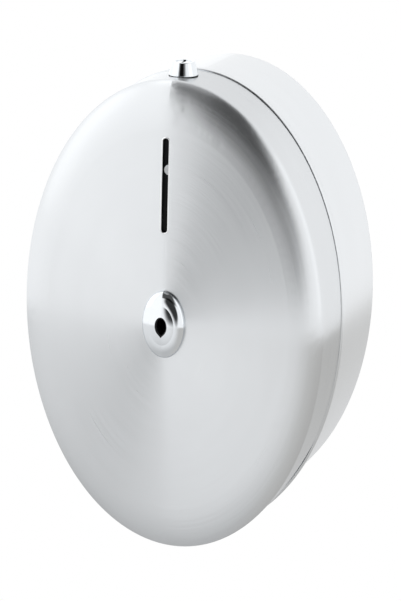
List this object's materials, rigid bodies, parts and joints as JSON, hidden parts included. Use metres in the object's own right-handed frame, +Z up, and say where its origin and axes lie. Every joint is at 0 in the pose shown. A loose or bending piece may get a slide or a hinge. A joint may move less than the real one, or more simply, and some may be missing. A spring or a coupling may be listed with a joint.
{
  "type": "folded toilet paper dispenser",
  "caption": "Wall-hung oval steel dispenser with a hinged dished cover, front nozzle, sight slot, key lock and sprung pressure plate.",
  "frame": {"origin": "on the wall, at the middle of the oval back plate", "axes": "+Z up, +X to the right seen from the front, front faces -Y, +Y into the wall"},
  "size_m": [0.1812, 0.1121, 0.2816],
  "materials": {
    "brushed_shell": "ring-brushed stainless steel",
    "plain_steel": "mill-finished stainless sheet",
    "chrome_trim": "polished chrome plate",
    "fasteners": "zinc-plated steel",
    "spring_wire": "drawn spring wire",
    "black_plastic": "moulded black plastic",
    "white_plastic": "moulded white plastic",
    "smoked_window": "dark smoked acrylic",
    "rubber": "black rubber"
  },
  "bodies": {
    "casing": {"rear_casing": "brushed_shell", "collar_ring": "plain_steel", "strike_plate": "plain_steel", "pack_tray": "plain_steel", "tray_rivets": "fasteners", "hinge_bracket": "plain_steel", "hinge_rivets": "fasteners", "hinge_pin": "fasteners", "pin_clip": "fasteners", "cover_bumpers": "rubber", "guide_rods": "fasteners", "rod_nuts": "fasteners", "plate_springs": "spring_wire"},
    "cover": {"front_cover": "brushed_shell", "nozzle_bezel": "chrome_trim", "nozzle_throat": "black_plastic", "nozzle_clip": "fasteners", "sight_window": "smoked_window", "window_frame": "black_plastic", "window_button": "white_plastic", "lock_gasket": "rubber", "lock_housing": "chrome_trim", "lock_washer": "fasteners", "lock_nut": "fasteners", "cover_hinge_bracket": "plain_steel"},
    "lock_core": {"lock_barrel": "chrome_trim", "lock_cam": "fasteners", "cam_screw": "fasteners"},
    "follower": {"pressure_plate": "plain_steel", "guide_bushes": "white_plastic"}
  },
  "joints": [
    {"name": "cover_hinge", "type": "hinge", "parent": "casing", "child": "cover", "pos_m": [0, -0.0925, -0.127], "axis": [1, 0, 0], "range_deg": [0, 100]},
    {"name": "lock_turn", "type": "hinge", "parent": "cover", "child": "lock_core", "pos_m": [0, -0.0815, 0.13], "axis": [0, 0, -1], "range_deg": [0, 90]},
    {"name": "plate_push", "type": "slide", "parent": "casing", "child": "follower", "axis": [0, 1, 0], "range_m": [0, 0.055], "stiffness_N_per_m": 50, "springref_m": -0.03, "deforming": ["plate_springs"]}
  ]
}
